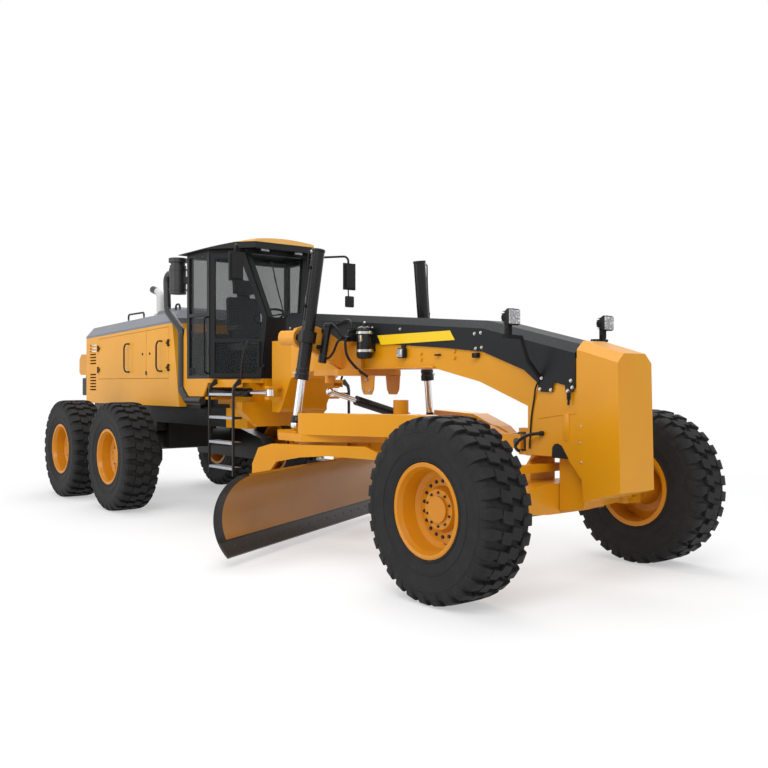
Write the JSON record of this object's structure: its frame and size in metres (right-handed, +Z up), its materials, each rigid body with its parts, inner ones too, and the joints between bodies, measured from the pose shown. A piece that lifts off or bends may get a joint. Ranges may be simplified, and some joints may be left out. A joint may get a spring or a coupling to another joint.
{
  "type": "motor grader",
  "caption": "Articulated motor grader with a curved blade on a turning circle, leaning front wheels, tandem rear wheels, a narrow-fronted cab and a low engine hood.",
  "frame": {"origin": "on the ground under the middle of the machine's overall box", "axes": "-Y is forward, -X is the machine's right side, +Z is up"},
  "size_m": [3.9111, 10.04, 3.2698],
  "materials": {
    "body_yellow": "gloss",
    "cover_grey": "satin",
    "hood_grey": "satin",
    "frame_black": "satin",
    "tyre_rubber": "matte",
    "rim_orange": "satin",
    "chrome_rod": "polished",
    "cylinder_black": "gloss",
    "edge_steel": "worn",
    "cast_dark": "matte",
    "black_plastic": "matte",
    "seat_fabric": "woven",
    "clear_glass": "clear",
    "step_metal": "brushed"
  },
  "bodies": {
    "rear_frame": {"rear_frame": "body_yellow", "tandem_cases": "frame_black", "hood": "body_yellow", "hood_cover": "hood_grey", "engine": "cast_dark", "cab_frame": "frame_black", "cab_roof": "body_yellow", "cab_glass": "clear_glass", "cab_interior": "seat_fabric", "ladders": "step_metal", "cab_fittings": "black_plastic", "tow_hitch": "body_yellow"},
    "front_frame": {"front_frame": "body_yellow", "beam_cover": "cover_grey", "saddle": "body_yellow", "front_axle": "body_yellow"},
    "lean_bar": {"lean_bar": "body_yellow"},
    "tie_rod": {"tie_rod": "body_yellow"},
    "tie_rod_stud": {"tie_rod_stud": "cast_dark"},
    "drawbar_ball": {"drawbar_ball": "cast_dark"},
    "drawbar": {"drawbar": "body_yellow"},
    "shift_bearing": {"shift_bearing": "cast_dark"},
    "shift_barrel": {"shift_barrel": "cylinder_black"},
    "shift_rod": {"shift_rod": "chrome_rod"},
    "circle": {"circle": "body_yellow"},
    "blade_carrier": {"blade_carrier": "body_yellow"},
    "blade": {"mouldboard": "body_yellow", "cutting_edge": "edge_steel"},
    "lean_carrier_right": {"lean_carrier_right": "body_yellow"},
    "knuckle_right": {"knuckle_right": "body_yellow"},
    "wheel_front_right": {"tyre_front_right": "tyre_rubber", "rim_front_right": "rim_orange"},
    "wheel_middle_right": {"tyre_middle_right": "tyre_rubber", "rim_middle_right": "rim_orange"},
    "wheel_rear_right": {"tyre_rear_right": "tyre_rubber", "rim_rear_right": "rim_orange"},
    "lift_barrel_right": {"lift_barrel_right": "cylinder_black"},
    "lift_rod_right": {"lift_rod_right": "chrome_rod"},
    "articulation_barrel_right": {"articulation_barrel_right": "cylinder_black"},
    "articulation_rod_right": {"articulation_rod_right": "chrome_rod"},
    "cab_door_right": {"cab_door_right": "frame_black", "cab_door_glass_right": "clear_glass"},
    "hood_door_front_right": {"hood_door_front_right": "body_yellow"},
    "hood_door_rear_right": {"hood_door_rear_right": "body_yellow"},
    "lean_carrier_left": {"lean_carrier_left": "body_yellow"},
    "knuckle_left": {"knuckle_left": "body_yellow"},
    "wheel_front_left": {"tyre_front_left": "tyre_rubber", "rim_front_left": "rim_orange"},
    "wheel_middle_left": {"tyre_middle_left": "tyre_rubber", "rim_middle_left": "rim_orange"},
    "wheel_rear_left": {"tyre_rear_left": "tyre_rubber", "rim_rear_left": "rim_orange"},
    "lift_barrel_left": {"lift_barrel_left": "cylinder_black"},
    "lift_rod_left": {"lift_rod_left": "chrome_rod"},
    "articulation_barrel_left": {"articulation_barrel_left": "cylinder_black"},
    "articulation_rod_left": {"articulation_rod_left": "chrome_rod"},
    "cab_door_left": {"cab_door_left": "frame_black", "cab_door_glass_left": "clear_glass"},
    "hood_door_front_left": {"hood_door_front_left": "body_yellow"},
    "hood_door_rear_left": {"hood_door_rear_left": "body_yellow"}
  },
  "joints": [
    {"name": "front_wheel_right", "type": "hinge", "parent": "knuckle_right", "child": "wheel_front_right", "pos_m": [-1.207, -4.24, 0.675], "axis": [1, 0, 0], "continuous": true},
    {"name": "middle_wheel_right", "type": "hinge", "parent": "rear_frame", "child": "wheel_middle_right", "pos_m": [-1.207, 1.758, 0.675], "axis": [1, 0, 0], "continuous": true},
    {"name": "rear_wheel_right", "type": "hinge", "parent": "rear_frame", "child": "wheel_rear_right", "pos_m": [-1.207, 3.495, 0.675], "axis": [1, 0, 0], "continuous": true},
    {"name": "front_wheel_left", "type": "hinge", "parent": "knuckle_left", "child": "wheel_front_left", "pos_m": [1.207, -4.24, 0.675], "axis": [1, 0, 0], "continuous": true},
    {"name": "middle_wheel_left", "type": "hinge", "parent": "rear_frame", "child": "wheel_middle_left", "pos_m": [1.207, 1.758, 0.675], "axis": [1, 0, 0], "continuous": true},
    {"name": "rear_wheel_left", "type": "hinge", "parent": "rear_frame", "child": "wheel_rear_left", "pos_m": [1.207, 3.495, 0.675], "axis": [1, 0, 0], "continuous": true},
    {"name": "articulation", "type": "hinge", "parent": "rear_frame", "child": "front_frame", "pos_m": [0, -0.31, 1.5], "axis": [0, 0, 1], "range_deg": [-25, 25]},
    {"name": "wheel_lean_right", "type": "hinge", "parent": "front_frame", "child": "lean_carrier_right", "pos_m": [-0.72, -4.24, 0.675], "axis": [0, 1, 0], "range_deg": [-17, 17]},
    {"name": "steering_right", "type": "hinge", "parent": "lean_carrier_right", "child": "knuckle_right", "pos_m": [-0.89, -4.24, 0.675], "axis": [0, 0, 1], "range_deg": [-45, 45]},
    {"name": "wheel_lean_left", "type": "hinge", "parent": "front_frame", "child": "lean_carrier_left", "pos_m": [0.72, -4.24, 0.675], "axis": [0, 1, 0], "range_deg": [-17.5, 17.5]},
    {"name": "steering_left", "type": "hinge", "parent": "lean_carrier_left", "child": "knuckle_left", "pos_m": [0.89, -4.24, 0.675], "axis": [0, 0, 1], "range_deg": [-46, 46]},
    {"name": "lean_bar_swing", "type": "hinge", "parent": "lean_carrier_right", "child": "lean_bar", "pos_m": [-0.72, -4.24, 0.91], "axis": [0, 1, 0], "range_deg": [-17.5, 17.5]},
    {"name": "tie_rod_stud_turn", "type": "hinge", "parent": "knuckle_right", "child": "tie_rod_stud", "pos_m": [-0.89, -3.98, 0.495], "axis": [0, 0, 1], "range_deg": [-46, 46]},
    {"name": "tie_rod_swing", "type": "hinge", "parent": "tie_rod_stud", "child": "tie_rod", "pos_m": [-0.89, -3.98, 0.495], "axis": [0, 1, 0], "range_deg": [-17.5, 17.5]},
    {"name": "articulation_barrel_swing_right", "type": "hinge", "parent": "rear_frame", "child": "articulation_barrel_right", "pos_m": [-0.64, 0.48, 1.48], "axis": [0, 0, 1], "range_deg": [-2.98, 2.98]},
    {"name": "articulation_rod_stroke_right", "type": "slide", "parent": "articulation_barrel_right", "child": "articulation_rod_right", "axis": [0.2055, -0.9787, 0], "range_m": [-0.2105, 0.2105]},
    {"name": "articulation_barrel_swing_left", "type": "hinge", "parent": "rear_frame", "child": "articulation_barrel_left", "pos_m": [0.64, 0.48, 1.48], "axis": [0, 0, 1], "range_deg": [-2.98, 2.98]},
    {"name": "articulation_rod_stroke_left", "type": "slide", "parent": "articulation_barrel_left", "child": "articulation_rod_left", "axis": [-0.2055, -0.9787, 0], "range_m": [-0.2105, 0.2105]},
    {"name": "drawbar_side_swing", "type": "hinge", "parent": "front_frame", "child": "drawbar_ball", "pos_m": [0, -3.91, 1.1], "axis": [0, 0, 1], "range_deg": [-6.5, 6.5]},
    {"name": "drawbar_lift", "type": "hinge", "parent": "drawbar_ball", "child": "drawbar", "pos_m": [0, -3.91, 1.1], "axis": [1, 0, 0], "range_deg": [-11, 7.5]},
    {"name": "lift_cylinder_swing_right", "type": "hinge", "parent": "front_frame", "child": "lift_barrel_right", "pos_m": [-0.76035, -1.75489, 2.03227], "axis": [-0.3692, 0.9294, 0], "range_deg": [-18.69, 18.69]},
    {"name": "lift_rod_stroke_right", "type": "slide", "parent": "lift_barrel_right", "child": "lift_rod_right", "axis": [0.1275, -0.0406, 0.991], "range_m": [-0.4385, 0.3035]},
    {"name": "lift_cylinder_swing_left", "type": "hinge", "parent": "front_frame", "child": "lift_barrel_left", "pos_m": [0.76035, -1.75489, 2.03227], "axis": [0.3692, 0.9294, 0], "range_deg": [-18.69, 18.69]},
    {"name": "lift_rod_stroke_left", "type": "slide", "parent": "lift_barrel_left", "child": "lift_rod_left", "axis": [-0.1275, -0.0406, 0.991], "range_m": [-0.4385, 0.3035]},
    {"name": "shift_bearing_turn", "type": "hinge", "parent": "drawbar", "child": "shift_bearing", "pos_m": [0.52, -1.74, 1.225], "axis": [-0.1699, 0.7679, -0.6177], "range_deg": [-4.88, 4.88]},
    {"name": "shift_cylinder_swing", "type": "hinge", "parent": "shift_bearing", "child": "shift_barrel", "pos_m": [0.52, -1.74, 1.225], "axis": [0, 1, 0], "range_deg": [-17.08, 24.67]},
    {"name": "shift_rod_stroke", "type": "slide", "parent": "shift_barrel", "child": "shift_rod", "axis": [-0.9642, 0, 0.2652], "range_m": [-0.2469, 0.2469]},
    {"name": "circle_turn", "type": "hinge", "parent": "drawbar", "child": "circle", "pos_m": [0, -1.74, 0.93], "axis": [0, 0, -1], "range_deg": [-9, 56]},
    {"name": "blade_tip", "type": "hinge", "parent": "circle", "child": "blade_carrier", "pos_m": [-0.34976, -1.0822, 0.33], "axis": [0.8829, 0.4695, 0], "range_deg": [-5, 40]},
    {"name": "blade_side_shift", "type": "slide", "parent": "blade_carrier", "child": "blade", "axis": [0.8829, 0.4695, 0], "range_m": [-0.9, 0.3]},
    {"name": "cab_door_hinge_right", "type": "hinge", "parent": "rear_frame", "child": "cab_door_right", "pos_m": [-0.73147, 0.34376, 2.35], "axis": [0, 0, -1], "range_deg": [0, 100]},
    {"name": "hood_door_front_hinge_right", "type": "hinge", "parent": "rear_frame", "child": "hood_door_front_right", "pos_m": [-0.614, 1.728, 1.95], "axis": [0, 0, 1], "range_deg": [0, 90]},
    {"name": "hood_door_rear_hinge_right", "type": "hinge", "parent": "rear_frame", "child": "hood_door_rear_right", "pos_m": [-0.614, 4.192, 1.95], "axis": [0, 0, -1], "range_deg": [0, 90]},
    {"name": "cab_door_hinge_left", "type": "hinge", "parent": "rear_frame", "child": "cab_door_left", "pos_m": [0.73147, 0.34376, 2.35], "axis": [0, 0, 1], "range_deg": [0, 100]},
    {"name": "hood_door_front_hinge_left", "type": "hinge", "parent": "rear_frame", "child": "hood_door_front_left", "pos_m": [0.614, 1.728, 1.95], "axis": [0, 0, -1], "range_deg": [0, 90]},
    {"name": "hood_door_rear_hinge_left", "type": "hinge", "parent": "rear_frame", "child": "hood_door_rear_left", "pos_m": [0.614, 4.192, 1.95], "axis": [0, 0, 1], "range_deg": [0, 90]}
  ],
  "couplings": [
    {"joint": "wheel_lean_left", "follows": "wheel_lean_right", "ratio": 1},
    {"joint": "steering_left", "follows": "steering_right", "ratio": 1},
    {"joint": "lean_bar_swing", "follows": "wheel_lean_right", "ratio": -1},
    {"joint": "tie_rod_stud_turn", "follows": "steering_right", "ratio": -1},
    {"joint": "tie_rod_swing", "follows": "wheel_lean_right", "ratio": -0.80899},
    {"joint": "articulation_barrel_swing_right", "follows": "articulation", "ratio": 0.11464},
    {"joint": "articulation_rod_stroke_right", "follows": "articulation", "m_per_rad": 0.46398},
    {"joint": "articulation_barrel_swing_left", "follows": "articulation", "ratio": 0.11464},
    {"joint": "articulation_rod_stroke_left", "follows": "articulation", "m_per_rad": -0.46398},
    {"joint": "lift_cylinder_swing_right", "follows": "drawbar_side_swing", "ratio": 2.7649},
    {"joint": "lift_rod_stroke_right", "follows": "drawbar_lift", "m_per_rad": 2.2099},
    {"joint": "lift_cylinder_swing_left", "follows": "drawbar_side_swing", "ratio": 2.7649},
    {"joint": "lift_rod_stroke_left", "follows": "drawbar_lift", "m_per_rad": 2.2099},
    {"joint": "shift_bearing_turn", "follows": "drawbar_side_swing", "ratio": 0.72249},
    {"joint": "shift_cylinder_swing", "follows": "drawbar_lift", "ratio": -2.17},
    {"joint": "shift_rod_stroke", "follows": "drawbar_side_swing", "m_per_rad": -2.0923}
  ]
}
